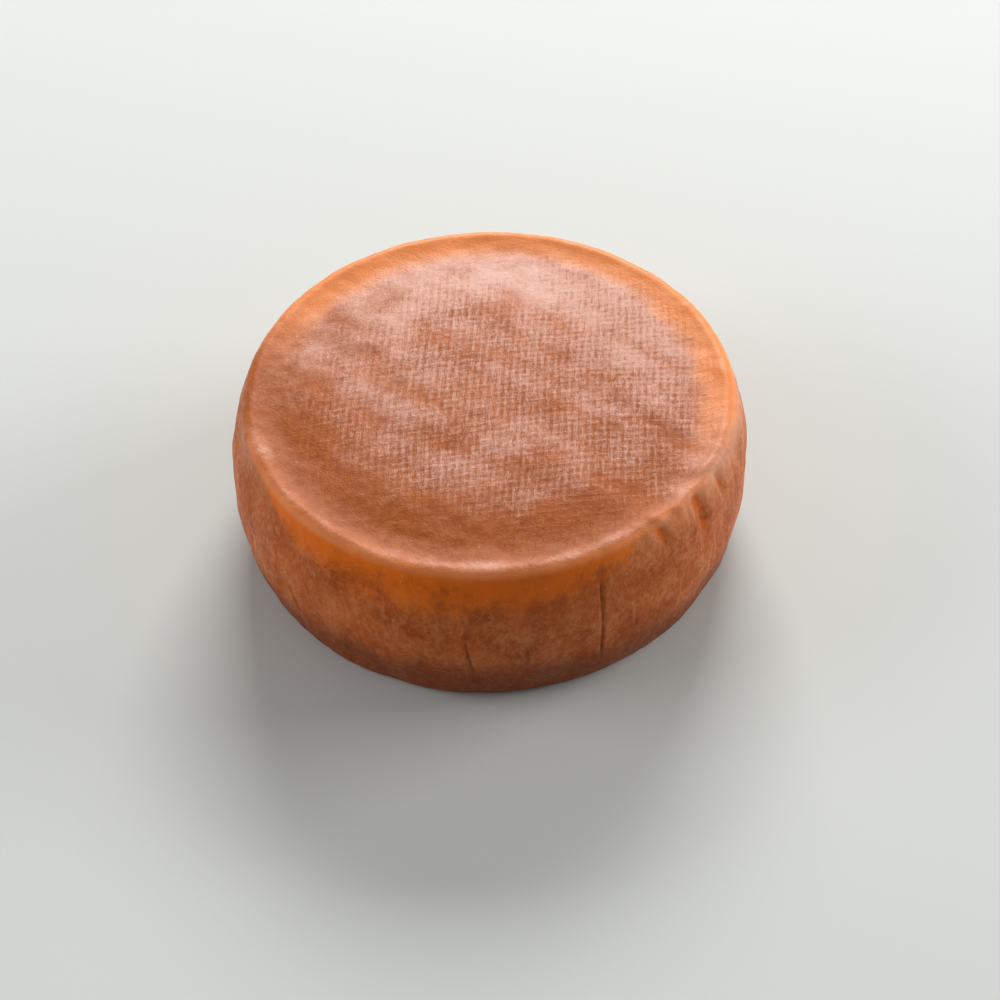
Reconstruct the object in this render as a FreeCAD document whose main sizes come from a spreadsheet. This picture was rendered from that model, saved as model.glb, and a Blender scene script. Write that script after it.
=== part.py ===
"""A whole soft ewe's-milk cheese wheel with a washed rind, built as one solid.

The wheel stands on its flat foot face with the origin at the middle of that face, +Z up.
Its half profile runs from the foot face through a rounded foot, a side that bulges, a tight
raised lip and a shallow trough to a low dome in the middle. The profile is turned about Z.
All lengths are millimetres.
"""
import FreeCAD, Part
import math
import os

import Sketcher

NODE = "cheese_wheel"

# Driving sizes, in the order of the sheet's rows.
WHEEL_SIZES = [
    ("widest_radius", 70.0),
    ("widest_height", 24.6),
    ("side_bulge_radius", 63.0),
    ("foot_round", 3.9),
    ("lip_height", 48.3),
    ("lip_round", 2.8),
    ("trough_radius", 20.0),
    ("dome_radius", 600.0),
    ("dome_rise", 1.4),
]


def make_sheet(doc):
    """Write every driving size into a spreadsheet cell of its own and give it its name."""
    sheet = doc.addObject("Spreadsheet::Sheet", "Sizes")
    for row, (alias, value) in enumerate(WHEEL_SIZES, start=1):
        sheet.set("A%d" % row, alias)
        sheet.set("B%d" % row, "%g" % value)
        sheet.setAlias("B%d" % row, alias)
    doc.recompute()
    return sheet


def origin_plane(body, role):
    """Return the body's own origin plane with the given role."""
    return next(plane for plane in body.Origin.OriginFeatures if plane.Role == role)


def meet(centre_a, reach_a, centre_b, reach_b):
    """Return the upper crossing of two circles, as the centre of an arc that touches both."""
    gap_x = centre_b[0] - centre_a[0]
    gap_z = centre_b[1] - centre_a[1]
    gap = math.hypot(gap_x, gap_z)
    along = (reach_a ** 2 - reach_b ** 2 + gap ** 2) / (2.0 * gap)
    aside = math.sqrt(reach_a ** 2 - along ** 2)
    return (centre_a[0] + (along * gap_x - aside * gap_z) / gap,
            centre_a[1] + (along * gap_z + aside * gap_x) / gap)


def arc(centre, radius, start, end):
    """Return an arc in the sketch plane, from one direction to the other in radians."""
    circle = Part.Circle(FreeCAD.Vector(centre[0], centre[1], 0), FreeCAD.Vector(0, 0, 1), radius)
    return Part.ArcOfCircle(circle, start, end)


def direction(start, end):
    """Return the angle of the way from one point to another, in radians."""
    return math.atan2(end[1] - start[1], end[0] - start[0])


def profile_arcs(sheet):
    """Place the five arcs of the half profile, each touching the next, from foot to dome."""
    bulge = sheet.side_bulge_radius
    side = (sheet.widest_radius - bulge, sheet.widest_height)
    foot_up = sheet.foot_round
    foot_reach = bulge - sheet.foot_round
    foot = (side[0] + math.sqrt(foot_reach ** 2 - (side[1] - foot_up) ** 2), foot_up)
    lip_up = sheet.lip_height - sheet.lip_round
    lip_reach = bulge - sheet.lip_round
    lip = (side[0] + math.sqrt(lip_reach ** 2 - (lip_up - side[1]) ** 2), lip_up)
    dome = (0.0, sheet.lip_height + sheet.dome_rise - sheet.dome_radius)
    trough = meet(dome, sheet.dome_radius + sheet.trough_radius,
                  lip, sheet.lip_round + sheet.trough_radius)
    return [
        arc(foot, sheet.foot_round, -math.pi / 2, direction(side, foot)),
        arc(side, bulge, direction(side, foot), direction(side, lip)),
        arc(lip, sheet.lip_round, direction(side, lip), direction(lip, trough)),
        arc(trough, sheet.trough_radius, direction(trough, dome), direction(trough, lip)),
        arc(dome, sheet.dome_radius, direction(dome, trough), math.pi / 2),
    ]


def draw_profile(body, sheet):
    """Draw the half profile as a closed sketch and tie its sizes to the sheet."""
    sketch = body.newObject("Sketcher::SketchObject", "HalfProfile")
    sketch.AttachmentSupport = [(origin_plane(body, "XZ_Plane"), "")]
    sketch.MapMode = "FlatFace"
    zero = FreeCAD.Vector(0, 0, 0)
    arcs = profile_arcs(sheet)
    foot_edge = FreeCAD.Vector(arcs[0].Center.x, 0, 0)
    summit = FreeCAD.Vector(0, sheet.lip_height + sheet.dome_rise, 0)
    base = sketch.addGeometry(Part.LineSegment(zero, foot_edge))
    foot, side, lip, trough, dome = [sketch.addGeometry(piece) for piece in arcs]
    axis = sketch.addGeometry(Part.LineSegment(summit, zero))
    widest = sketch.addGeometry(
        Part.Point(FreeCAD.Vector(sheet.widest_radius, sheet.widest_height, 0)), True)

    start, end, centre = 1, 2, 3
    origin = (-1, 1)
    upright = -2
    rule = Sketcher.Constraint
    sketch.addConstraint([
        rule("Coincident", base, start, *origin),
        rule("Horizontal", base),
        rule("Tangent", base, end, foot, start),
        rule("Tangent", foot, end, side, start),
        rule("Tangent", side, end, lip, start),
        rule("Tangent", lip, end, trough, end),
        rule("Tangent", trough, start, dome, start),
        rule("Coincident", dome, end, axis, start),
        rule("PointOnObject", dome, centre, upright),
        rule("Coincident", axis, end, *origin),
        rule("Vertical", axis),
        rule("PointOnObject", widest, start, side),
        rule("Horizontal", widest, start, side, centre),
    ])

    def tie(constraint, name, formula):
        """Add one dimension and bind it to a formula in the sheet's names."""
        number = sketch.addConstraint(constraint)
        sketch.renameConstraint(number, name)
        sketch.setExpression("Constraints." + name, formula)

    tie(rule("Radius", foot, sheet.foot_round), "foot_round", "Sizes.foot_round")
    tie(rule("Radius", side, sheet.side_bulge_radius), "side_bulge", "Sizes.side_bulge_radius")
    tie(rule("Radius", lip, sheet.lip_round), "lip_round", "Sizes.lip_round")
    tie(rule("Radius", trough, sheet.trough_radius), "trough_round", "Sizes.trough_radius")
    tie(rule("Radius", dome, sheet.dome_radius), "dome_round", "Sizes.dome_radius")
    tie(rule("DistanceX", *origin, widest, start, sheet.widest_radius),
        "widest_reach", "Sizes.widest_radius")
    tie(rule("DistanceY", *origin, side, centre, sheet.widest_height),
        "widest_up", "Sizes.widest_height")
    tie(rule("DistanceY", *origin, lip, centre, sheet.lip_height - sheet.lip_round),
        "lip_up", "Sizes.lip_height - Sizes.lip_round")
    tie(rule("DistanceY", *origin, dome, end, sheet.lip_height + sheet.dome_rise),
        "summit_up", "Sizes.lip_height + Sizes.dome_rise")
    return sketch


def turn_wheel(body, sheet):
    """Turn the half profile all the way round Z."""
    sketch = draw_profile(body, sheet)
    wheel = body.newObject("PartDesign::Revolution", "TurnedWheel")
    wheel.Profile = sketch
    wheel.ReferenceAxis = (sketch, ["V_Axis"])
    wheel.Angle = 360.0
    return wheel


def check_document(doc):
    """Stop if any object failed, or a shape is missing or not valid."""
    for item in doc.Objects:
        faults = [state for state in item.State if state in ("Invalid", "Error")]
        if faults:
            raise RuntimeError("%s did not build: %s" % (item.Name, ", ".join(faults)))


def build():
    """Build the wheel and write it as its own STEP file."""
    doc = FreeCAD.newDocument("CheeseWheel")
    sheet = make_sheet(doc)
    body = doc.addObject("PartDesign::Body", "CheeseWheel")
    body.Label = NODE
    turn_wheel(body, sheet)
    doc.recompute()
    check_document(doc)
    shape = body.Shape
    if shape.isNull() or not shape.isValid() or len(shape.Solids) != 1:
        raise RuntimeError(NODE + " is not one valid solid")
    os.makedirs("parts", exist_ok=True)
    shape.exportStep("parts/" + NODE + ".step")
    box = shape.optimalBoundingBox(False)
    print("%s: %.1f x %.1f x %.1f mm, %.0f cm3" % (
        NODE, box.XLength, box.YLength, box.ZLength, shape.Volume / 1000.0))


build()
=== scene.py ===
"""The looks of a whole soft cheese wheel: a cloth-marked washed rind with a raised lip."""
import math

import bpy
import numpy as np
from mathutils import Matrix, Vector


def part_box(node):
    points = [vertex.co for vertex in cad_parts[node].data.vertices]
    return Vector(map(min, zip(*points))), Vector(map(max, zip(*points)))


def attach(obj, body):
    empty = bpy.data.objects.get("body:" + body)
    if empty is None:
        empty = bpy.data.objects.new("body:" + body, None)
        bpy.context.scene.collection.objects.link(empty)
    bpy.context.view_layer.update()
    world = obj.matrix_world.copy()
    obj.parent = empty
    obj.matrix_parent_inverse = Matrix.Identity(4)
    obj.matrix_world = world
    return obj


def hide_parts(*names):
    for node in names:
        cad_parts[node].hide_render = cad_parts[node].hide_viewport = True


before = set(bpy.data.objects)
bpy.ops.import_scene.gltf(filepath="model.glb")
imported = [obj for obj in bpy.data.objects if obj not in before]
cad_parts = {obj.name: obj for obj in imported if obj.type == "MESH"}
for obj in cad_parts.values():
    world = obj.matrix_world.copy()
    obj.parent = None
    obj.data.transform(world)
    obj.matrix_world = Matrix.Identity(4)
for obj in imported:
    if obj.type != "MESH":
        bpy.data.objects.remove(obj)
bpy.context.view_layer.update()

MM = 0.001
NODE = "cheese_wheel"
LOW, HIGH = (np.array(corner, dtype=float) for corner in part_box(NODE))
WIDEST_RADIUS = (HIGH[0] - LOW[0]) / 2
SUMMIT = HIGH[2]

# The half profile, as the five arcs of the solid, in metres.
WIDEST_HEIGHT = 24.6 * MM
BULGE_RADIUS = 63.0 * MM
FOOT_ROUND = 3.9 * MM
LIP_ROUND = 2.8 * MM
TROUGH_RADIUS = 20.0 * MM
DOME_RADIUS = 600.0 * MM
DOME_RISE = 1.4 * MM
LIP_HEIGHT = SUMMIT - DOME_RISE

# The mesh: a square grid of cells pulled round over the top, then rings down to the base.
TOP_CELLS = 240
JOIN_RADIUS = 61.0 * MM
LIP_RINGS = 11
SIDE_RINGS = 19
FOOT_RINGS = 6
BASE_RINGS = 2
LIP_RINGS_PAST = 1.2 * MM
PROFILE_SAMPLES = 4000


# ---------------------------------------------------------------- half profile

def direction(start, end):
    """The angle of the way from one point to another, in radians."""
    return math.atan2(end[1] - start[1], end[0] - start[0])


def meet(centre_a, reach_a, centre_b, reach_b):
    """The upper crossing of two circles: along the line of centres, then square to it."""
    gap = np.subtract(centre_b, centre_a)
    span = float(np.hypot(*gap))
    along = (reach_a ** 2 - reach_b ** 2 + span ** 2) / (2 * span)
    aside = math.sqrt(reach_a ** 2 - along ** 2)
    return (centre_a[0] + (along * gap[0] - aside * gap[1]) / span,
            centre_a[1] + (along * gap[1] + aside * gap[0]) / span)


def profile_arcs():
    """The arcs from the summit outwards and down: centre, radius, start and end angle, and side.

    Side is 1 where the rind is outside the arc and -1 in the trough, where it is inside."""
    side = (WIDEST_RADIUS - BULGE_RADIUS, WIDEST_HEIGHT)
    foot_reach = BULGE_RADIUS - FOOT_ROUND
    lip_reach = BULGE_RADIUS - LIP_ROUND
    lip_up = LIP_HEIGHT - LIP_ROUND
    foot = (side[0] + math.sqrt(foot_reach ** 2 - (side[1] - FOOT_ROUND) ** 2), FOOT_ROUND)
    lip = (side[0] + math.sqrt(lip_reach ** 2 - (lip_up - side[1]) ** 2), lip_up)
    dome = (0.0, SUMMIT - DOME_RADIUS)
    trough = meet(dome, DOME_RADIUS + TROUGH_RADIUS, lip, LIP_ROUND + TROUGH_RADIUS)
    return [
        (dome, DOME_RADIUS, math.pi / 2, direction(dome, trough), 1.0),
        (trough, TROUGH_RADIUS, direction(trough, dome), direction(trough, lip), -1.0),
        (lip, LIP_ROUND, direction(lip, trough), direction(side, lip), 1.0),
        (side, BULGE_RADIUS, direction(side, lip), direction(side, foot), 1.0),
        (foot, FOOT_ROUND, direction(side, foot), -math.pi / 2, 1.0),
    ]


ARCS = profile_arcs()
LENGTHS = np.array([radius * abs(end - start) for _, radius, start, end, _ in ARCS])
MARKS = np.concatenate([[0.0], np.cumsum(LENGTHS)])


def walk(distance):
    """Radius, height and outward direction at a distance along the half profile.

    On each arc the angle grows evenly with the distance. The point is the centre plus the
    radius along that angle, and past the last arc the walk goes straight in over the base."""
    distance = np.asarray(distance, dtype=float)
    radius_out = np.zeros_like(distance)
    height = np.zeros_like(distance)
    facing = np.zeros(distance.shape + (2,))
    for (centre, radius, start, end, side), first, length in zip(ARCS, MARKS, LENGTHS):
        share = (distance - first) / length
        angle = start + (end - start) * np.clip(share, 0, 1)
        here = share >= 0
        radius_out = np.where(here, centre[0] + radius * np.cos(angle), radius_out)
        height = np.where(here, centre[1] + radius * np.sin(angle), height)
        facing[here] = side * np.stack([np.cos(angle), np.sin(angle)], axis=-1)[here]
    beyond = np.maximum(distance - MARKS[-1], 0)
    return radius_out - beyond, height, facing


# ---------------------------------------------------------------- unevenness

# The outline's waves, as shares of the radius.
OVAL_ALONG = -0.004
OVAL_ASLANT = 0.009
THREE_LOBES = 0.002

# Zones round the wheel: the turn in the middle of each, in degrees, and the cosines of the
# angle away from it at which the zone is gone and at which it is full. The rear slope holds a
# painted glow, the zone far back a painted sheen over real bloom, and the pale lip and front lip
# a painted highlight and painted light on the lip.
ZONE_TURNS = {
    "full lip": (-115, 0.30, 0.95),
    "near trough": (-112, 0.00, 0.80),
    "rear slope": (70, -0.25, 0.35),
    "far bloom and sheen": (62, -0.20, 0.95),
    "pale lip": (-82, 0.35, 0.90),
    "front lip": (-98, 0.15, 0.80),
    "amber band": (-102, 0.60, 1.00),
    "left lip": (-160, 0.30, 0.90),
}


def lumps(points, size, seed, waves=24):
    """Soft random swells of about the given size, with a spread of one.

    The sum of plane waves in random directions, each with its own length and phase."""
    draw = np.random.default_rng(seed)
    way = draw.normal(size=(waves, 3))
    way /= np.linalg.norm(way, axis=1, keepdims=True)
    pitch = size * draw.uniform(0.7, 1.5, waves)
    phase = draw.uniform(0, 2 * np.pi, waves)
    swell = points @ (way * (2 * np.pi / pitch)[:, None]).T + phase
    return np.cos(swell).sum(axis=1) * math.sqrt(2 / waves)


def swells(points, rows):
    """The sum of several kinds of soft random swell, each with its height, size and seed."""
    return sum(height * lumps(points, size, seed) for height, size, seed in rows)


def rise(value, low, high):
    """A smooth step from 0 at low to 1 at high: 3t^2 - 2t^3 of the share t between them."""
    share = np.clip((value - low) / (high - low), 0, 1)
    return share * share * (3 - 2 * share)


def hump(value, middle, width):
    """A smooth bell of height one: e to the minus squared distance over squared width."""
    return np.exp(-((value - middle) / width) ** 2)


def outline(turn):
    """How far out of round the wheel is: one plus small waves, two and three to the turn."""
    oval = OVAL_ALONG * np.cos(2 * turn) + OVAL_ASLANT * np.sin(2 * turn)
    return 1 + oval + THREE_LOBES * np.cos(3 * turn)


def around(turn, middle):
    """The angle from a middle turn to a turn, brought between minus and plus half a turn."""
    return (turn - middle + np.pi) % (2 * np.pi) - np.pi


def toward(turn, zone):
    """How much a turn belongs to a zone: a smooth step of the cosine of the angle between."""
    middle, gone, full = ZONE_TURNS[zone]
    return rise(np.cos(turn - math.radians(middle)), gone, full)


# Folds of the rind: turn in degrees and height in mm at the top and at the foot of each, then
# the half width and the depth in mm.
PLEATS = [
    (-49.4, 46.4, -47.8, 41.0, 2.1, 1.0),
    (-39.6, 46.6, -39.8, 43.5, 1.5, 0.45),
    (-36.4, 46.6, -34.6, 31.5, 2.7, 1.2),
    (-26.6, 45.8, -26.0, 38.0, 2.0, 0.9),
]
CREASES = [
    (-65.6, 39.0, -65.1, 3.0, 0.45, 0.45),
    (-82.1, 23.5, -81.9, 15.0, 0.45, 0.30),
    (-95.1, 26.0, -93.0, 10.5, 0.55, 0.40),
    (-72.0, 12.0, -71.5, 5.0, 0.5, 0.25),
    (-57.5, 26.0, -56.5, 17.0, 0.6, 0.25),
    (-46.0, 31.0, -43.0, 20.0, 0.7, 0.25),
    (-120.0, 30.0, -117.0, 17.0, 0.8, 0.22),
    (-139.0, 26.0, -134.0, 12.0, 0.9, 0.28),
]
# Dents at the foot: turn in degrees, then height, half width and depth in mm.
FOOT_DENTS = [(-112.3, 2.5, 4.0, 0.7), (-92.6, 3.5, 3.2, 0.8), (-76.4, 3.5, 2.6, 0.6)]

# The shape of a fold: how wide its top and its foot are, as shares of the width, how it fades
# at the top, in mm, and where its raised welts are and how wide, as shares of the half width.
FOLD_TOP_SHARE = 1.15
FOLD_FOOT_SHARE = 0.60
FOLD_PAST_TOP = 2.0
FOLD_FADE = 3.0
NARROW_WELT = -1.9
WIDE_WELT = 2.0
WELT_WIDTH = 0.9
PLEAT_STEEPNESS = 0.8
WELT_SHARE = 0.16
DENT_RISE = 2.6

# Folds of the part of the side that faces away: how many, and the ranges of their tops,
# lengths, half widths and depths, in mm.
BACK_PLEATS = {"seed": 43, "count": 9, "tops": (43, 46), "longs": (7, 18),
               "widths": (1.0, 1.7), "depths": (0.3, 0.8)}
SIDE_CREASES = {"seed": 41, "count": 30, "tops": (22, 46), "longs": (7, 22),
                "widths": (0.5, 1.0), "depths": (0.08, 0.32)}
UNSEEN_TURNS = (15, 160)
FOLD_LEAN = 2.5
LOWEST_FOLD = 4.0


def loose_folds(seed, count, tops, longs, widths, depths):
    """Upright folds scattered round the unseen part of the side, from a seeded draw.

    Tops, lengths, half widths and depths are ranges in mm."""
    draw = np.random.default_rng(seed)
    folds = []
    for _ in range(count):
        turn = draw.uniform(*UNSEEN_TURNS)
        top = draw.uniform(*tops)
        lean = draw.uniform(-FOLD_LEAN, FOLD_LEAN)
        foot = max(top - draw.uniform(*longs), LOWEST_FOLD)
        folds.append((turn, top, turn + lean, foot, draw.uniform(*widths), draw.uniform(*depths)))
    return folds


def fold_depth(turn, height, folds, steep):
    """Depth of a list of folds, in mm, with a raised welt along the edges of each.

    Across a fold the depth is a bell whose left half is narrower by the steepness, and the
    welts are lower bells beside it. Along the fold both fade smoothly at its two ends, and the
    fold narrows towards its foot."""
    height = height / MM
    depth = np.zeros_like(turn)
    for top_turn, top, low_turn, low, width, deep in folds:
        share = np.clip((top - height) / (top - low), 0, 1)
        middle = np.radians(top_turn + (low_turn - top_turn) * share)
        taper = FOLD_TOP_SHARE - (FOLD_TOP_SHARE - FOLD_FOOT_SHARE) * share
        across = around(turn, middle) * WIDEST_RADIUS / MM / taper
        fade = (rise(height, low, (low + top) / 2)
                * rise(top + FOLD_PAST_TOP - height, 0, FOLD_FADE))
        half = np.where(across < 0, width * steep, width)
        groove = hump(across, 0, half)
        narrow = width * steep
        welt = (hump(across, NARROW_WELT * narrow, WELT_WIDTH * narrow)
                + hump(across, WIDE_WELT * width, WELT_WIDTH * width))
        depth += deep * fade * (groove - WELT_SHARE * welt)
    return depth


def foot_dents(turn, height):
    """Soft hollows at the foot, in mm: a bell round the wheel times a bell up the side."""
    depth = np.zeros_like(turn)
    for at, up, width, deep in FOOT_DENTS:
        across = around(turn, math.radians(at)) * WIDEST_RADIUS / MM
        depth += deep * hump(across, 0, width) * hump(height / MM, up, DENT_RISE)
    return depth


# ---------------------------------------------------------------- cloth print

# The cloth lay in long soft ruffles, from the back left towards the front right.
# This matrix turns a place to lie along them and draws it out that way.
RUFFLE = math.radians(-38)
RUFFLE_DRAW = 0.22
DRAPE = np.array([[RUFFLE_DRAW * math.cos(RUFFLE), -math.sin(RUFFLE), 0.0],
                  [RUFFLE_DRAW * math.sin(RUFFLE), math.cos(RUFFLE), 0.0],
                  [0.0, 0.0, 1.0]])
UPRIGHT_PITCH = 1.94 * MM
CROSS_PITCH = 2.10 * MM
UPRIGHT_LEAN = math.radians(3.5)
CROSS_LEAN = math.radians(9.2)
PRINT_MIDDLE = (15 * MM, -5 * MM)
PRINT_REACH = (60 * MM, 54 * MM)
PRINT_EDGE = (58 * MM, 63 * MM)
PIT_DEPTH = 0.05
THREAD_HEIGHT = 0.04

# Swells, as rows of height, size and seed: how far each way of the threads bends, in threads,
# and the patches where the print is stronger or weaker, as shares.
UPRIGHT_BEND = [(0.22, 60 * MM, 3)]
CROSS_BEND = [(0.30, 55 * MM, 4)]
PRINT_PATCHES = [(0.14, 26 * MM, 5), (0.10, 9 * MM, 6)]


def cloth_threads(x, y):
    """Thread counts across the top in both directions, from the skewed lie of the cloth.

    Each count is the distance square to its threads over their pitch, bent a little by long
    waves because the cloth was stretched over the curd."""
    upright = (x * math.cos(UPRIGHT_LEAN) - y * math.sin(UPRIGHT_LEAN)) / UPRIGHT_PITCH
    cross = (y * math.cos(CROSS_LEAN) - x * math.sin(CROSS_LEAN)) / CROSS_PITCH
    flat = np.stack([x, y, np.zeros_like(x)], axis=1)
    return upright + swells(flat, UPRIGHT_BEND), cross + swells(flat, CROSS_BEND)


def cloth_strength(x, y, distance):
    """How deep the cloth pressed: strongest right of the middle, gone near the lip.

    A flat-topped oval about its own centre, broken by soft patches."""
    flat = np.stack([x, y, np.zeros_like(x)], axis=1)
    oval = np.hypot((x - PRINT_MIDDLE[0]) / PRINT_REACH[0],
                    (y - PRINT_MIDDLE[1]) / PRINT_REACH[1])
    edge = 1 - rise(distance, *PRINT_EDGE)
    return np.clip(1.05 - 0.85 * oval ** 3 + swells(flat, PRINT_PATCHES), 0.08, 1.0) * edge


# ---------------------------------------------------------------- the rind's surface

# The crest of the lip, and where the side's colours take over from the top's.
LIP_TOP = MARKS[2] + 0.9 * MM
SIDE_START = (MARKS[3] - 1.5 * MM, MARKS[3] + 4 * MM)

# Bells across the half profile: the walked distance of the middle of each, and its half width.
# The crest and pale lip hold a painted highlight, the outer edge, under slack and shoulder
# painted light on shaded slopes, and the one far back a painted sheen over real bloom.
LANES = {
    "lip arc": ((MARKS[2] + MARKS[3]) / 2, 3.5 * MM),
    "lip": (LIP_TOP, 4 * MM),
    "full lip": (MARKS[2] + 2 * MM, 6 * MM),
    "crest": (LIP_TOP - 0.8 * MM, 2.0 * MM),
    "pale lip": (LIP_TOP - 1.2 * MM, 2.5 * MM),
    "outer edge": (LIP_TOP + 1.7 * MM, 1.2 * MM),
    "under slack": (LIP_TOP + 3.0 * MM, 4.5 * MM),
    "shoulder": (MARKS[3] + 0.5 * MM, 5.5 * MM),
    "upper furrow": (MARKS[3] + 2.2 * MM, 0.9 * MM),
    "lower furrow": (MARKS[3] + 5.5 * MM, 1.2 * MM),
    "far bloom and sheen": (48 * MM, 15 * MM),
}
# Where the amber trough starts and where it ends, and where the cream of the painted glow on the
# rear slope starts. A little of the trough's amber goes all the way round.
TROUGH_ALL_ROUND = 0.08
TROUGH_START = (38 * MM, 52 * MM)
TROUGH_END = (LIP_TOP - 5.5 * MM, LIP_TOP - 0.8 * MM)
REAR_GLOW_START = (52.5 * MM, 60.5 * MM)
# Where the amber band starts under the lip, and how long its fade is, at least and at most.
BAND_START = (LIP_TOP + 0.4 * MM, LIP_TOP + 2.4 * MM)
BAND_FADE = (2 * MM, 15 * MM)
# Where the painted shade towards the foot starts and where it is full.
FOOT_START = (MARKS[4] - 26 * MM, MARKS[5] - 5 * MM)

# Swells of the rind, as rows of height in mm, size and seed.
TOP_SWELLS = [(0.16, 34 * MM, 11), (0.03, 13 * MM, 12)]
DRAPE_SWELL = 0.035
PEBBLES = [(0.03, 4.5 * MM, 13)]
LIP_SWELLS = [(0.10, 18 * MM, 14), (0.025, 3.2 * MM, 15)]
SIDE_STREAKS = [(0.06, 5 * MM, 16)]
SIDE_SWELLS = [(0.22, 19 * MM, 17)]
STREAK_DRAW = [1, 1, 0.16]

# How much the bloom is at rest, and how much each zone adds to it. Far back it adds a painted
# sheen, on the pale lip a painted highlight and on the shoulder painted light, all in the
# bloom's pale colour.
BLOOM_LEVEL = 0.46
BLOOM_AND_SHEEN_ZONES = {"patchy": 0.10, "drape": 0.07, "far bloom and sheen": 0.45, "pale lip": 0.14,
               "shoulder": 0.45, "side": -0.14, "trough": -0.7, "band": -0.9, "hollow": -0.4,
               "slack": -0.35, "left lip": -0.34, "near trough": -0.08}

# How strong the cream is in each of its zones, all painted light: a painted glow of the back
# light through the rim on the rear slope, painted light on the lip's shaded outer edge, under the
# slack and on the right shoulder, and a painted highlight on the crest. Then how strong the
# painted shade is at the foot and in the hollows, and how amber the hollows are.
PAINTED_GLOW_ZONES = {"rear slope": 1.0, "shoulder": 0.3, "outer edge": 0.95, "crest": 0.18,
               "under slack": 0.6}
FOOT_SHADE = 0.70
HOLLOW_SHADE = 0.28
HOLLOW_WARM = 0.8

# The slack of the lip over the pleats: its middle turn, its half width, and how far the lip
# sinks there, evenly and in lumps, in mm.
SLACK_TURN = math.radians(-38)
SLACK_WIDTH = math.radians(20)
SLACK_EVEN = 0.35
SLACK_LUMPY = 0.28
LIP_FULLNESS = 1.1 * MM
FURROW_TURN = math.radians(-158)
FURROW_DEPTH = 0.35
# The right shoulder, whose cream, extra bloom colour and top tone are painted light.
SHOULDER_TURN = math.radians(-16)
SHOULDER_WIDTH = math.radians(32)


def lane(distance, name):
    """How much a walked distance lies in one of the named lanes: a bell about its middle."""
    return hump(distance, *LANES[name])


def surface_relief(place, turn, height, distance, cloth):
    """How far the rind stands out from the plain wheel, in mm, with its folds apart.

    The sum of long and short swells on the top, lip and side, and the print of the cloth,
    less the slack and furrows of the lip, the pleats, the creases and the foot dents."""
    upright, cross, strength = cloth
    on_top = 1 - rise(distance, MARKS[2], MARKS[3])
    on_side = rise(distance, *SIDE_START)

    wave = np.cos(2 * np.pi * upright)
    pit = (1 - wave) * (1 - np.cos(2 * np.pi * cross)) / 4
    print_out = PIT_DEPTH * strength * (0.25 - pit) + THREAD_HEIGHT * strength * wave

    drape = lumps(place @ DRAPE, 7 * MM, 19)
    top = swells(place, TOP_SWELLS) + DRAPE_SWELL * drape
    side = swells(place * STREAK_DRAW, SIDE_STREAKS) + swells(place, SIDE_SWELLS)
    lip = swells(place, LIP_SWELLS) * lane(distance, "lip arc")

    # The lip is slack and lumpy where the pleats start, and furrowed under its left end.
    slack_zone = hump(turn, SLACK_TURN, SLACK_WIDTH) * lane(distance, "lip")
    slack = slack_zone * (SLACK_EVEN + SLACK_LUMPY * lumps(place, 9 * MM, 18))
    furrows = lane(distance, "upper furrow") + 0.6 * lane(distance, "lower furrow")
    furrow = FURROW_DEPTH * hump(np.cos(turn - FURROW_TURN), 1, 0.05) * furrows

    past_lip = rise(distance, MARKS[2] - 1 * MM, MARKS[3])
    all_pleats = PLEATS + loose_folds(**BACK_PLEATS)
    all_creases = CREASES + loose_folds(**SIDE_CREASES)
    pleats = fold_depth(turn, height, all_pleats, PLEAT_STEEPNESS) * past_lip
    creases = fold_depth(turn, height, all_creases, 1.0) * past_lip
    dents = foot_dents(turn, height)
    out = (top * on_top + swells(place, PEBBLES) + lip + side * on_side
           + print_out - slack - furrow - pleats - creases - dents)
    return out, drape, pleats, creases + dents


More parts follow.
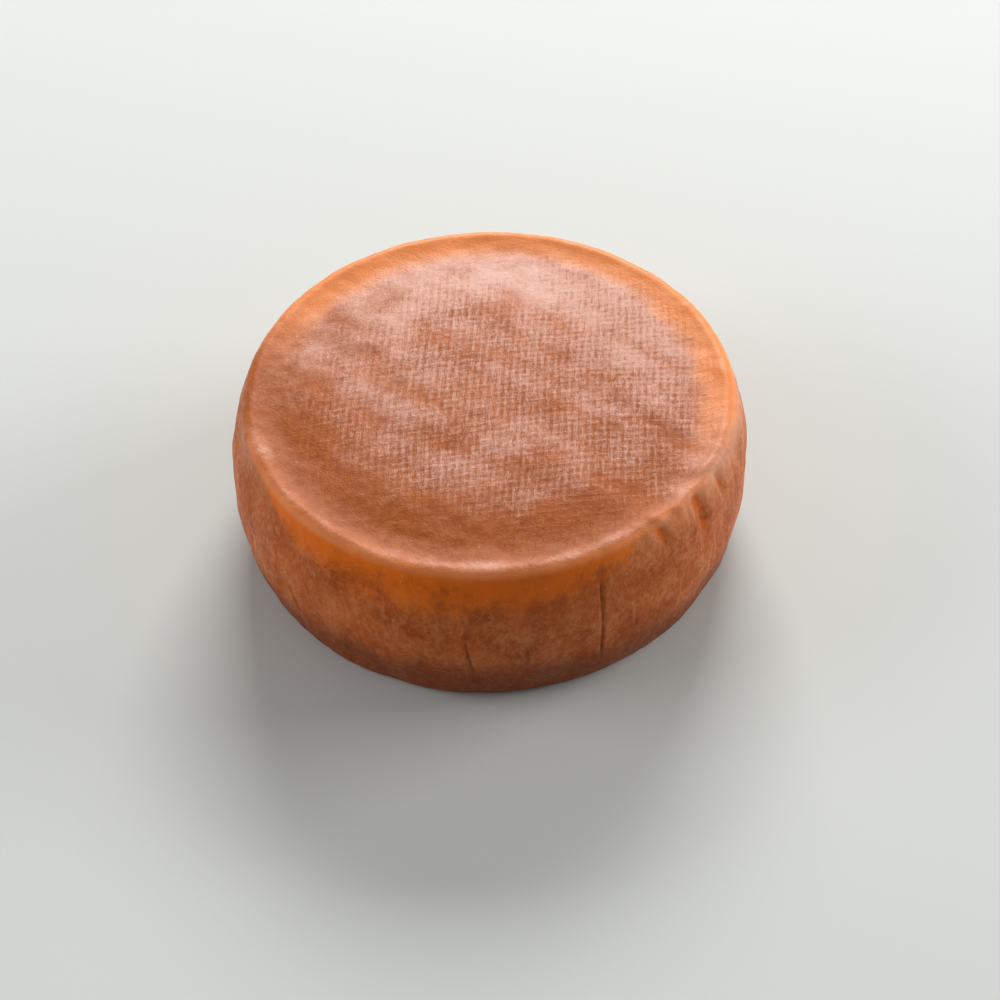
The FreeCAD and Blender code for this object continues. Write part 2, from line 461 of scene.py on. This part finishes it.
def rind_zones(place, turn, distance, drape, pleats, dips):
    """Where each colour of the rind lies, as shares from about 0 to 1, and the painted shade.

    Every zone is a smooth step or bell across the half profile, times one round the wheel:
    an amber trough and an amber band under the lip in front, a painted highlight on the pale
    crest between them, pale bloom with a painted sheen far back on the top, and a painted glow
    on the cream slope inside the lip at the back. The bloom is its level plus each of its zones
    times its share, and the cream is the strongest of its own: painted light on the lip's shaded
    slopes and the right shoulder. The painted shade darkens the creases, dents, pleat hollows
    and foot."""
    patchy = lumps(place, 12 * MM, 21)
    hollow = np.clip(pleats, 0, 1)
    on_top = 1 - rise(distance, MARKS[2], MARKS[3])
    on_side = rise(distance, *SIDE_START)
    near = toward(turn, "near trough")
    slack_turn = hump(turn, SLACK_TURN, SLACK_WIDTH)
    shoulder = hump(turn, SHOULDER_TURN, SHOULDER_WIDTH) * lane(distance, "shoulder")

    trough = ((TROUGH_ALL_ROUND + (1 - TROUGH_ALL_ROUND) * near)
              * rise(distance, *TROUGH_START) * (1 - rise(distance, *TROUGH_END)))
    band_turn = toward(turn, "amber band")
    fade = BAND_FADE[0] + (BAND_FADE[1] - BAND_FADE[0]) * band_turn
    band = (rise(band_turn, 0.0, 0.3) * rise(distance, *BAND_START)
            * np.clip(1 - (distance - MARKS[3]) / fade, 0, 1))

    # Painted glow: the back light shining through the thin rim, laid as cream on the inner slope
    # at the back.
    rear_glow = (toward(turn, "rear slope") * (1 - on_side)
                  * rise(distance + 0.6 * MM * patchy, *REAR_GLOW_START))
    front_lip = toward(turn, "front lip")
    # Painted light on the lip's shaded outer edge, under the slack and on the right shoulder, and
    # a painted highlight on the crest.
    painted_glow_zones = {
        "rear slope": rear_glow, "shoulder": shoulder,
        "outer edge": front_lip * lane(distance, "outer edge"),
        "crest": front_lip * lane(distance, "crest"),
        "under slack": slack_turn * lane(distance, "under slack"),
    }
    cream = np.max([share * painted_glow_zones[name] for name, share in PAINTED_GLOW_ZONES.items()], axis=0)
    cream = cream * (1 - np.clip(1.2 * pleats, 0, 1))

    lip = lane(distance, "lip")
    # Bloom, with a painted sheen far back, a painted highlight on the pale lip and painted light
    # on the shoulder.
    bloom_and_sheen_zones = {
        "patchy": patchy, "drape": drape * on_top, "shoulder": shoulder, "side": on_side,
        "trough": trough, "band": band, "hollow": hollow, "slack": slack_turn * lip,
        "left lip": toward(turn, "left lip") * lip, "near trough": near * on_top,
        "far bloom and sheen": toward(turn, "far bloom and sheen") * lane(distance, "far bloom and sheen"),
        "pale lip": toward(turn, "pale lip") * lane(distance, "pale lip"),
    }
    bloom = BLOOM_LEVEL + sum(share * bloom_and_sheen_zones[name] for name, share in BLOOM_AND_SHEEN_ZONES.items())

    # Painted shade: darker in the creases, dents and pleat hollows and towards the foot.
    dark = np.clip(dips + FOOT_SHADE * rise(distance, *FOOT_START) + HOLLOW_SHADE * hollow, 0, 1)
    golden = np.clip(trough * (1.0 + 0.2 * patchy), 0, 1)
    warm = band * (1 + 0.15 * patchy) + HOLLOW_WARM * hollow
    # The shoulder's painted light also keeps the top's colours on the side there, and the painted
    # glow goes into the tones.
    return {"zones": np.stack([bloom, warm, golden], axis=1),
            "tones": np.stack([on_side * (1 - 0.8 * shoulder), dark, cream], axis=1)}


def rind(distance, turn):
    """Points of the rind, its thread counts and its zones, at a walked distance and a turn.

    The half profile is turned about Z and made out of round, and a little fuller at the lip
    in front. Then each point moves along its outward direction by the relief. The base stays
    flat."""
    radius, height, facing = walk(distance)
    fullness = LIP_FULLNESS * toward(turn, "full lip") * lane(distance, "full lip")
    radius = radius * outline(turn) + fullness
    cos, sin = np.cos(turn), np.sin(turn)
    place = np.stack([radius * cos, radius * sin, height], axis=1)
    outward = np.stack([facing[:, 0] * cos, facing[:, 0] * sin, facing[:, 1]], axis=1)
    x, y = place[:, 0], place[:, 1]

    cloth = (*cloth_threads(x, y), cloth_strength(x, y, distance))
    out, drape, pleats, dips = surface_relief(place, turn, height, distance, cloth)
    off_base = 1 - rise(distance, MARKS[4] - 2 * MM, MARKS[5])
    place = place + outward * (out * MM * off_base)[:, None]
    place[:, 2] = np.where(distance >= MARKS[5], 0.0, np.maximum(place[:, 2], 0.0))
    return {"place": place, "cloth": np.stack(cloth, axis=1),
            **rind_zones(place, turn, distance, drape, pleats, dips)}


# ---------------------------------------------------------------- mesh

def square_to_disc(across, up):
    """Pull a square grid round: x is a times the root of 1 - b^2/2, and y likewise."""
    return across * np.sqrt(1 - up ** 2 / 2), up * np.sqrt(1 - across ** 2 / 2)


def rim_walk():
    """Grid numbers of the top's border, once round, against the clock from its corner."""
    side = np.arange(TOP_CELLS)
    full = np.full(TOP_CELLS, TOP_CELLS)
    none = np.zeros(TOP_CELLS, dtype=int)
    across = np.concatenate([side, full, TOP_CELLS - side, none])
    up = np.concatenate([none, side, full, TOP_CELLS - side])
    return up * (TOP_CELLS + 1) + across


def ring_distances(start):
    """Walked distances of the rings: close over the lip, wide on the side, even at the foot."""
    lip = np.linspace(start, MARKS[3] + LIP_RINGS_PAST, LIP_RINGS + 1)[1:]
    side = np.linspace(lip[-1], MARKS[4], SIDE_RINGS + 1)[1:]
    foot = np.linspace(MARKS[4], MARKS[5], FOOT_RINGS + 1)[1:]
    base_reach = walk(MARKS[5])[0]
    base = MARKS[5] + float(base_reach) * np.arange(1, BASE_RINGS + 1) / (BASE_RINGS + 1)
    return np.concatenate([lip, side, foot, base])


def quads(first, second, third, fourth):
    """Stack four equal arrays of vertex numbers into one row for each face."""
    return np.stack([first, second, third, fourth], axis=-1).reshape(-1, 4)


def build_wheel():
    """The whole rind as one closed mesh, with its attributes and its own map for baking."""
    line = np.linspace(-1, 1, TOP_CELLS + 1)
    across, up = (part.ravel() for part in np.meshgrid(line, line))
    disc_x, disc_y = square_to_disc(across, up)
    top_turn = np.arctan2(disc_y, disc_x)
    trial = np.linspace(0, MARKS[3], PROFILE_SAMPLES)
    rim_distance = float(np.interp(JOIN_RADIUS, walk(trial)[0], trial))
    top_distance = np.interp(np.hypot(disc_x, disc_y) * JOIN_RADIUS, walk(trial)[0], trial)

    rim = rim_walk()
    columns = len(rim)
    rim_turn = top_turn[rim]
    rings = ring_distances(rim_distance)
    ring_distance = np.repeat(rings, columns)
    ring_turn = np.tile(rim_turn, len(rings))

    distance = np.concatenate([top_distance, ring_distance])
    turn = np.concatenate([top_turn, ring_turn])
    surface = rind(distance, turn)
    points = surface["place"]
    hub = len(points)
    points = np.vstack([points, [[0.0, 0.0, 0.0]]])

    cells = np.arange(TOP_CELLS)
    column, row = (part.ravel() for part in np.meshgrid(cells, cells))
    corner = row * (TOP_CELLS + 1) + column
    top_faces = quads(corner, corner + 1, corner + TOP_CELLS + 2, corner + TOP_CELLS + 1)

    here = np.arange(columns)
    after = (here + 1) % columns
    grid = np.vstack([rim] + [len(across) + ring * columns + here for ring in range(len(rings))])
    above, below = grid[:-1], grid[1:]
    side_faces = quads(above[:, here], below[:, here], below[:, after], above[:, after])
    last = grid[-1]
    cap = np.stack([last[here], np.full(columns, hub), last[after]], axis=1)

    mesh = bpy.data.meshes.new("rind_wheel")
    faces = np.vstack([top_faces, side_faces])
    fill_mesh(mesh, points, faces, cap)
    for name in ("cloth", "zones", "tones"):
        values = np.vstack([surface[name], [[0.0, 0.0, 0.0]]]).astype(np.float32)
        layer = mesh.attributes.new(name, "FLOAT_VECTOR", "POINT")
        layer.data.foreach_set("vector", values.ravel())
    lay_out_map(mesh, column, row, columns, len(rings))
    mesh.validate()
    piece = bpy.data.objects.new("rind_wheel", mesh)
    bpy.context.collection.objects.link(piece)
    return piece


def fill_mesh(mesh, points, faces, cap):
    """Put the points, the four-sided faces and the three-sided cap into a mesh, shaded smooth."""
    corners = np.concatenate([faces.ravel(), cap.ravel()])
    sizes = np.concatenate([np.full(len(faces), 4), np.full(len(cap), 3)])
    starts = np.concatenate([[0], np.cumsum(sizes)[:-1]])
    mesh.vertices.add(len(points))
    mesh.vertices.foreach_set("co", points.astype(np.float32).ravel())
    mesh.loops.add(len(corners))
    mesh.loops.foreach_set("vertex_index", corners.astype(np.int32))
    mesh.polygons.add(len(sizes))
    mesh.polygons.foreach_set("loop_start", starts.astype(np.int32))
    mesh.polygons.foreach_set("use_smooth", np.ones(len(sizes), dtype=bool))
    mesh.update(calc_edges=True)


# The map for baking: the top takes a large square, the side two long strips under it, and the
# base a small square beside the top. All are in shares of the map.
MAP_EDGE = 0.004
TOP_PATCH = 0.62
STRIP_HEIGHT = 0.18
BASE_REACH = 0.17


def lay_out_map(mesh, column, row, columns, rings):
    """Give each face corner its own place on the bake map, with no overlap.

    The top keeps its square grid. The rings go into two strips, half a turn each, and the
    base's rings and cap fold out into a small square as circles round its middle."""
    top_u = np.stack([column, column + 1, column + 1, column], axis=1) / TOP_CELLS
    top_v = np.stack([row, row, row + 1, row + 1], axis=1) / TOP_CELLS
    top_map = np.stack([top_u, top_v], axis=2) * TOP_PATCH
    top_map += [MAP_EDGE, 1 - MAP_EDGE - TOP_PATCH]

    ring, here = (part.ravel() for part in np.meshgrid(np.arange(rings), np.arange(columns),
                                                       indexing="ij"))
    half = columns // 2
    on_base = ring >= rings - BASE_RINGS
    strip = here // half
    place = here % half
    side_rings = rings - BASE_RINGS
    along = np.stack([place, place, place + 1, place + 1], axis=1) / half
    down = np.stack([ring, ring + 1, ring + 1, ring], axis=1) / side_rings
    strip_u = MAP_EDGE + along * (1 - 2 * MAP_EDGE)
    strip_v = MAP_EDGE + (1 - down) * (STRIP_HEIGHT - MAP_EDGE)
    strip_v = strip_v + (strip * STRIP_HEIGHT)[:, None]

    base_middle = (TOP_PATCH + 3 * MAP_EDGE + BASE_REACH, 1 - MAP_EDGE - BASE_REACH)
    angle = 2 * np.pi * np.stack([here, here, here + 1, here + 1], axis=1) / columns
    inward = np.stack([ring, ring + 1, ring + 1, ring], axis=1) - side_rings
    reach = BASE_REACH * (1 - inward / (BASE_RINGS + 1))
    base_u = base_middle[0] + reach * np.cos(angle)
    base_v = base_middle[1] - reach * np.sin(angle)
    side_map = np.where(on_base[:, None, None], np.stack([base_u, base_v], axis=2),
                        np.stack([strip_u, strip_v], axis=2))

    cap_reach = BASE_REACH / (BASE_RINGS + 1)
    cap_here = np.arange(columns)
    cap_angle = 2 * np.pi * np.stack([cap_here, cap_here, cap_here + 1], axis=1) / columns
    cap_size = np.array([cap_reach, 0.0, cap_reach])
    cap_map = np.stack([base_middle[0] + cap_size * np.cos(cap_angle),
                        base_middle[1] - cap_size * np.sin(cap_angle)], axis=2)
    layer = mesh.uv_layers.new(name="OFBake")
    values = np.concatenate([top_map.ravel(), side_map.ravel(), cap_map.ravel()])
    layer.data.foreach_set("uv", values.astype(np.float32))


# ---------------------------------------------------------------- rind material

# Screen colours of the rind, 0 to 255. A pair is the darker and the lighter end of a mottle.
TOP_SKIN = ((158, 82, 34), (176, 96, 44))
SIDE_SKIN = ((160, 70, 16), (184, 88, 24))
TAN_MOTTLE = (190, 104, 46)
TROUGH_GOLD = (154, 74, 6)
BAND_AMBER = (222, 105, 0)
# The bloom's pale colour, which also paints the sheen far back and the highlight on the crest.
TOP_BLOOM_AND_SHEEN = (208, 157, 139)
SIDE_BLOOM = (208, 127, 78)
# Colours of the painted glow and of the painted light on the lip's shaded slopes.
GLOW_CREAM = ((228, 128, 62), (238, 156, 100))
# Painted shade in the creases, dents, pleat hollows and at the foot.
PAINTED_SHADE_BROWN = (94, 38, 10)
SPECK_PALE = (234, 196, 180)

# The two threads of the cloth: how much each shows, how its dashes are drawn out along the
# two counts, and how its fine streaks are.
THREADS = ((0.80, (0.7, 0.22, 0), (2.4, 0.45, 0)),
           (0.42, (0.24, 0.75, 0), (0.40, 1.9, 0)))

# How much each noise adds to the bloom, to the height in mm and to the band's ragged edge.
BLOOM_FROM = {"mottle": 0.8, "grain": 0.5, "fray": 0.5, "patch": 0.5, "crust": 2.3, "print": 0.78}
HEIGHT_FROM = {"print": 0.15, "mottle": 0.12, "grain": 0.07, "fray": 0.09, "crust": 0.30}
RAGGED_FROM = {"patch": 1.3, "mottle": 1.2}
BLOOM_RANGE = (-0.1, 1.25)
CLOUDY_RANGE = (0.35, 0.66)
TAN_RANGE = (0.38, 0.66)
TAN_SHARE = 0.4
SPECK_SHARE = 0.22
STREAK_SHARE = 2.2


def colour(red, green, blue):
    """A colour from its shares on a screen, 0 to 255, as the linear light it stands for."""
    shares = np.array([red, green, blue]) / 255
    linear = np.where(shares <= 0.04045, shares / 12.92, ((shares + 0.055) / 1.055) ** 2.4)
    return tuple(float(share) for share in linear) + (1.0,)


class Wiring:
    """Short calls for laying nodes in one material and joining them."""

    def __init__(self, material):
        self.tree = material.node_tree

    def put(self, kind, **settings):
        """Lay a node and set its own properties."""
        node = self.tree.nodes.new(kind)
        for name, value in settings.items():
            setattr(node, name, value)
        return node

    def feed(self, socket, value):
        """Join a socket to another's output, or set its plain value."""
        if isinstance(value, bpy.types.NodeSocket):
            self.tree.links.new(value, socket)
        else:
            socket.default_value = value

    def sums(self, operation, first, second=0.0):
        """One arithmetic step on two numbers."""
        node = self.put("ShaderNodeMath", operation=operation)
        self.feed(node.inputs[0], first)
        self.feed(node.inputs[1], second)
        return node.outputs[0]

    def stretch(self, vector, by):
        """A place multiplied by a number for each axis."""
        node = self.put("ShaderNodeVectorMath", operation="MULTIPLY")
        self.feed(node.inputs[0], vector)
        self.feed(node.inputs[1], by)
        return node.outputs[0]

    def noise(self, vector, size, detail, roughness=0.55, warp=0.0):
        """Cloudy noise whose patches are about the given size, in the place's units."""
        node = self.put("ShaderNodeTexNoise")
        self.feed(node.inputs["Vector"], vector)
        self.feed(node.inputs["Scale"], 1 / size)
        self.feed(node.inputs["Detail"], detail)
        self.feed(node.inputs["Roughness"], roughness)
        self.feed(node.inputs["Distortion"], warp)
        return node.outputs["Fac"]

    def step(self, value, low, high, start=0.0, end=1.0):
        """A smooth step of a value from one level to another."""
        node = self.put("ShaderNodeMapRange", interpolation_type="SMOOTHSTEP")
        for socket, number in zip(node.inputs, (value, low, high, start, end)):
            self.feed(socket, number)
        return node.outputs[0]

    def blend(self, factor, first, second):
        """One colour laid over another by a factor."""
        node = self.put("ShaderNodeMix", data_type="RGBA", blend_type="MIX", clamp_factor=True)
        for socket, value in zip((node.inputs[0], node.inputs[6], node.inputs[7]),
                                 (factor, first, second)):
            self.feed(socket, value)
        return node.outputs[2]

    def total(self, start, parts, shares):
        """A start plus each named part times its share."""
        for name, share in shares.items():
            start = self.sums("ADD", start, self.sums("MULTIPLY", parts[name], share))
        return start

    def attribute(self, name):
        """A named attribute of the mesh, as a vector."""
        return self.put("ShaderNodeAttribute", attribute_name=name).outputs["Vector"]

    def split(self, vector):
        """The three numbers of a place or an attribute."""
        node = self.put("ShaderNodeSeparateXYZ")
        self.feed(node.inputs[0], vector)
        return node.outputs


def cloth_print(wire, cloth):
    """The print on the top: threads both ways, broken into dashes, over fine streaks."""
    upright, cross, strength = wire.split(cloth)
    lie = wire.stretch(cloth, (UPRIGHT_PITCH / MM, CROSS_PITCH / MM, 0.0))
    raised = 0.0
    for count, (share, dash, streak) in zip((upright, cross), THREADS):
        wave = wire.sums("COSINE", wire.sums("MULTIPLY", count, 2 * math.pi))
        kept = wire.step(wire.noise(wire.stretch(lie, dash), 1.0, detail=3.0), 0.40, 0.60)
        line = wire.sums("MULTIPLY", wire.sums("MULTIPLY", wave, kept), share / 2)
        fine = wire.noise(wire.stretch(lie, streak), 1.0, detail=2.0, roughness=0.6)
        fine = wire.sums("MULTIPLY", wire.sums("SUBTRACT", fine, 0.5), share * STREAK_SHARE)
        raised = wire.sums("ADD", raised, wire.sums("ADD", line, fine))
    return wire.sums("MULTIPLY", raised, strength)


def rind_noises(wire, place):
    """The rind's cloudy patches, mottle, grain, frayed streaks and crust, from wide to fine."""
    return {
        "patch": wire.noise(place, 11.0, detail=4.0, warp=0.4),
        "mottle": wire.noise(place, 2.2, detail=4.0, roughness=0.62),
        "grain": wire.noise(place, 0.55, detail=2.0),
        "fray": wire.noise(wire.stretch(place, (1.0, 1.0, 0.35)), 1.3, detail=3.0),
        "crust": wire.noise(wire.stretch(place, (1.0, 1.0, 0.7)), 1.3, detail=5.0,
                            roughness=0.72),
    }


def bare_skin(wire, noises, parts, on_side, warm, golden):
    """The orange-brown skin, with the golden trough and the ragged amber band laid over."""
    cloudy = wire.step(noises["patch"], *CLOUDY_RANGE)
    top_skin = wire.blend(cloudy, *(colour(*end) for end in TOP_SKIN))
    side_skin = wire.blend(cloudy, *(colour(*end) for end in SIDE_SKIN))
    skin = wire.blend(on_side, top_skin, side_skin)
    skin = wire.blend(golden, skin, colour(*TROUGH_GOLD))
    tan = wire.sums("MULTIPLY", wire.step(noises["mottle"], *TAN_RANGE), TAN_SHARE)
    skin = wire.blend(tan, skin, colour(*TAN_MOTTLE))
    ragged = wire.total(0.0, parts, RAGGED_FROM)
    ragged = wire.sums("MULTIPLY", ragged, wire.step(warm, 0.0, 0.3))
    band = wire.step(wire.sums("ADD", warm, ragged), 0.0, 1.0)
    return wire.blend(band, skin, colour(*BAND_AMBER))


def pale_specks(wire, place):
    """A few small pale specks, where a cell of a scattered pattern is one of the chosen."""
    dots = wire.put("ShaderNodeTexVoronoi", feature="F1")
    wire.feed(dots.inputs["Vector"], place)
    wire.feed(dots.inputs["Scale"], 0.42)
    near = wire.step(dots.outputs["Distance"], 0.14, 0.06)
    chosen = wire.step(wire.split(dots.outputs["Color"])[0], 0.6, 0.75)
    return wire.sums("MULTIPLY", wire.sums("MULTIPLY", near, chosen), SPECK_SHARE)


def rind_material():
    """Washed rind: orange-brown skin, pale pink bloom with a painted sheen, a painted glow and
    painted shade, the cloth's print and a fine grain.
    """
    material = bpy.data.materials.new("washed_rind")
    material.use_nodes = True
    wire = Wiring(material)
    shader = material.node_tree.nodes["Principled BSDF"]
    place = wire.stretch(wire.put("ShaderNodeTexCoord").outputs["Object"], (1 / MM,) * 3)
    bloom, warm, golden = wire.split(wire.attribute("zones"))
    on_side, painted_shade, cream = wire.split(wire.attribute("tones"))

    # Each part swings about zero, and the crust is on the side only.
    noises = rind_noises(wire, place)
    parts = {name: wire.sums("SUBTRACT", noise, 0.5) for name, noise in noises.items()}
    parts["crust"] = wire.sums("MULTIPLY", parts["crust"], on_side)
    parts["print"] = cloth_print(wire, wire.attribute("cloth"))

    # Colour: bare skin first, then the bloom with its painted sheen and highlight, the cream of
    # painted glow and light, the painted shade of creases, hollows and foot, and the specks.
    skin = bare_skin(wire, noises, parts, on_side, warm, golden)
    cover = wire.step(wire.total(bloom, parts, BLOOM_FROM), *BLOOM_RANGE)
    skin = wire.blend(cover, skin, wire.blend(on_side, colour(*TOP_BLOOM_AND_SHEEN), colour(*SIDE_BLOOM)))
    # Painted glow and painted light on the lip's shaded slopes, in cream.
    slope = wire.blend(noises["patch"], *(colour(*end) for end in GLOW_CREAM))
    skin = wire.blend(cream, skin, slope)
    # Painted shade in the creases, dents, pleat hollows and at the foot.
    skin = wire.blend(wire.step(painted_shade, 0.1, 0.6, 0.0, 0.6), skin, colour(*PAINTED_SHADE_BROWN))
    skin = wire.blend(pale_specks(wire, place), skin, colour(*SPECK_PALE))
    wire.feed(shader.inputs["Base Color"], skin)

    # Shine: the bloom is smoother than the bare skin, and light goes a little way in.
    wire.feed(shader.inputs["Roughness"], wire.step(cover, 0.0, 1.0, 0.50, 0.36))
    shader.inputs["Specular IOR Level"].default_value = 0.15
    shader.inputs["Subsurface Weight"].default_value = 0.2
    shader.inputs["Subsurface Radius"].default_value = (1.0, 0.35, 0.12)
    shader.inputs["Subsurface Scale"].default_value = 4 * MM

    # Relief that is finer than the mesh.
    bump = wire.put("ShaderNodeBump")
    bump.inputs["Strength"].default_value = 1.0
    bump.inputs["Distance"].default_value = MM
    wire.feed(bump.inputs["Height"], wire.total(0.0, parts, HEIGHT_FROM))
    wire.feed(shader.inputs["Normal"], bump.outputs["Normal"])
    return material


# ---------------------------------------------------------------- stage, lights and camera

FLOOR_REACH = 1.7
VIEW_HEIGHT = 45.1
VIEW_DISTANCE = 0.665
VIEW_AIM = (0.0, 0.0, 0.02415)
LENS = 87.58
LENS_SHIFT = (0.0103, -0.0473)
SENSOR_WIDTH = 36.0
FLOOR_GREY = (210, 214, 212)
LAMP_TINT = (255, 252, 248)
SURROUND_TINT = (245, 246, 248)
BACKGROUND_TINT = (232, 232, 230)
SURROUND_STRENGTH = 0.26

# Each lamp's name, place, width and height, and power.
LAMPS = [
    ("back_window", (0.12, 1.45, 0.93), (0.9, 0.5), 31.0),
    ("right_window", (1.35, 0.40, 0.52), (0.9, 0.7), 14.5),
    ("left_window", (-1.40, -0.10, 0.60), (0.9, 0.7), 9.0),
]


def set_stage():
    """A wide pale floor under the wheel."""
    corners = [(-FLOOR_REACH, -FLOOR_REACH, 0), (FLOOR_REACH, -FLOOR_REACH, 0),
               (FLOOR_REACH, FLOOR_REACH, 0), (-FLOOR_REACH, FLOOR_REACH, 0)]
    mesh = bpy.data.meshes.new("floor")
    mesh.from_pydata(corners, [], [(0, 1, 2, 3)])
    floor = bpy.data.objects.new("floor", mesh)
    bpy.context.collection.objects.link(floor)
    material = bpy.data.materials.new("pale_floor")
    material.use_nodes = True
    shader = material.node_tree.nodes["Principled BSDF"]
    shader.inputs["Base Color"].default_value = colour(*FLOOR_GREY)
    shader.inputs["Roughness"].default_value = 0.8
    shader.inputs["Specular IOR Level"].default_value = 0.2
    mesh.materials.append(material)


def aim(thing, target):
    """Turn a lamp or a camera at its place so that it looks at a target."""
    way = np.subtract(target, thing.location)
    flat = math.hypot(way[0], way[1])
    thing.rotation_euler = (math.pi / 2 + math.atan2(way[2], flat), 0.0,
                            math.atan2(way[1], way[0]) - math.pi / 2)


def soft_lamp(name, place, size, watts):
    """A soft lamp of the given width and height that looks at the wheel."""
    light = bpy.data.lights.new(name, "AREA")
    light.shape = "RECTANGLE"
    light.size, light.size_y = size
    light.energy = watts
    light.color = colour(*LAMP_TINT)[:3]
    lamp = bpy.data.objects.new(name, light)
    lamp.location = place
    aim(lamp, VIEW_AIM)
    bpy.context.collection.objects.link(lamp)


def light_studio():
    """A low soft window behind, two weaker ones at the sides, and an even pale surround.

    The camera sees the surround as a plain pale background instead."""
    for lamp in LAMPS:
        soft_lamp(*lamp)
    world = bpy.data.worlds.new("surround")
    bpy.context.scene.world = world
    world.use_nodes = True
    tree = world.node_tree
    surround = tree.nodes["Background"]
    surround.inputs["Color"].default_value = colour(*SURROUND_TINT)
    surround.inputs["Strength"].default_value = SURROUND_STRENGTH
    seen = tree.nodes.new("ShaderNodeBackground")
    seen.inputs["Color"].default_value = colour(*BACKGROUND_TINT)
    seen.inputs["Strength"].default_value = 1.0
    rays = tree.nodes.new("ShaderNodeLightPath")
    choose = tree.nodes.new("ShaderNodeMixShader")
    tree.links.new(rays.outputs["Is Camera Ray"], choose.inputs[0])
    tree.links.new(surround.outputs[0], choose.inputs[1])
    tree.links.new(seen.outputs[0], choose.inputs[2])
    tree.links.new(choose.outputs[0], tree.nodes["World Output"].inputs["Surface"])


def set_camera():
    """The camera looks down on the wheel from the front, a little off centre in its frame."""
    lens = bpy.data.cameras.new("camera")
    lens.lens = LENS
    lens.sensor_width = SENSOR_WIDTH
    lens.shift_x, lens.shift_y = LENS_SHIFT
    camera = bpy.data.objects.new("camera", lens)
    up = math.radians(VIEW_HEIGHT)
    camera.location = np.add(VIEW_AIM, (0.0, -VIEW_DISTANCE * math.cos(up),
                                        VIEW_DISTANCE * math.sin(up)))
    aim(camera, VIEW_AIM)
    bpy.context.collection.objects.link(camera)
    bpy.context.scene.camera = camera


set_camera()
set_stage()
light_studio()
bpy.context.scene.view_settings.view_transform = "Standard"

wheel = build_wheel()
wheel.data.materials.append(rind_material())
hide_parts(NODE)
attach(wheel, "root")
